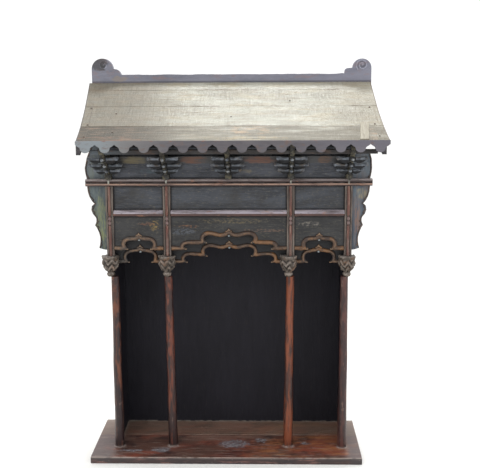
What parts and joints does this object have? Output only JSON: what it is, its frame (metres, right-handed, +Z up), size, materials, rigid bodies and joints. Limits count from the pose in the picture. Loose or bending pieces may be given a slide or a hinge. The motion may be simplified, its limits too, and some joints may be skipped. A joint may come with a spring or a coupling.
{
  "type": "altar shrine",
  "caption": "Standing wooden shrine, open at the front, with columns, scalloped aprons, bracketed eave and one hollow-curved roof slope; holds an altar figure.",
  "frame": {"origin": "middle of the base's underside", "axes": "+Z up, -Y towards the open front, +X to the right as seen from the front"},
  "size_m": [0.897, 0.3688, 1.2177],
  "materials": {
    "base_wood": "worn red-brown lacquer, half gloss, dusty",
    "interior_lacquer": "near-black lacquer, dull",
    "column_lacquer": "dark red-brown lacquer, worn through in streaks",
    "capital_wood": "carved wood, grey-brown, dusty edges",
    "rail_lacquer": "red-brown lacquer, worn pale on the beads",
    "panel_lacquer": "blue-grey lacquer, dull, flecked",
    "apron_lacquer": "blue-grey board with a golden-brown bead",
    "wing_paint": "blue-grey paint worn yellow-green and rusty",
    "bracket_wood": "dark blue-grey paint, dusty edges",
    "eave_wood": "weathered blue-grey wood",
    "roof_wood": "weathered pale grey-brown boards"
  },
  "bodies": {
    "root": {"base_front_board": "base_wood", "base_rear_board": "base_wood", "left_side_panel": "interior_lacquer", "right_side_panel": "interior_lacquer", "back_panel": "interior_lacquer", "column_outer_left": "column_lacquer", "column_inner_left": "column_lacquer", "column_inner_right": "column_lacquer", "column_outer_right": "column_lacquer", "capital_outer_left": "capital_wood", "capital_inner_left": "capital_wood", "capital_inner_right": "capital_wood", "capital_outer_right": "capital_wood", "post_outer_left": "rail_lacquer", "post_inner_left": "rail_lacquer", "post_inner_right": "rail_lacquer", "post_outer_right": "rail_lacquer", "top_rail": "rail_lacquer", "lower_rail_left": "rail_lacquer", "lower_rail_centre": "rail_lacquer", "lower_rail_right": "rail_lacquer", "frieze_panel_left": "panel_lacquer", "frieze_panel_centre": "panel_lacquer", "frieze_panel_right": "panel_lacquer", "upper_frieze_board": "panel_lacquer", "upper_beam": "panel_lacquer", "front_apron_left": "apron_lacquer", "front_apron_centre": "apron_lacquer", "front_apron_right": "apron_lacquer", "rear_apron_left": "apron_lacquer", "rear_apron_centre": "apron_lacquer", "rear_apron_right": "apron_lacquer", "left_wing": "wing_paint", "right_wing": "wing_paint", "bracket_far_left": "bracket_wood", "bracket_left": "bracket_wood", "bracket_centre": "bracket_wood", "bracket_right": "bracket_wood", "bracket_far_right": "bracket_wood", "eave_purlin": "eave_wood", "fascia_board": "eave_wood", "ridge_board": "eave_wood", "roof_plank_eave": "roof_wood", "roof_plank_lower": "roof_wood", "roof_plank_upper": "roof_wood", "roof_plank_ridge": "roof_wood", "left_bargeboard": "roof_wood", "right_bargeboard": "roof_wood"}
  },
  "joints": []
}
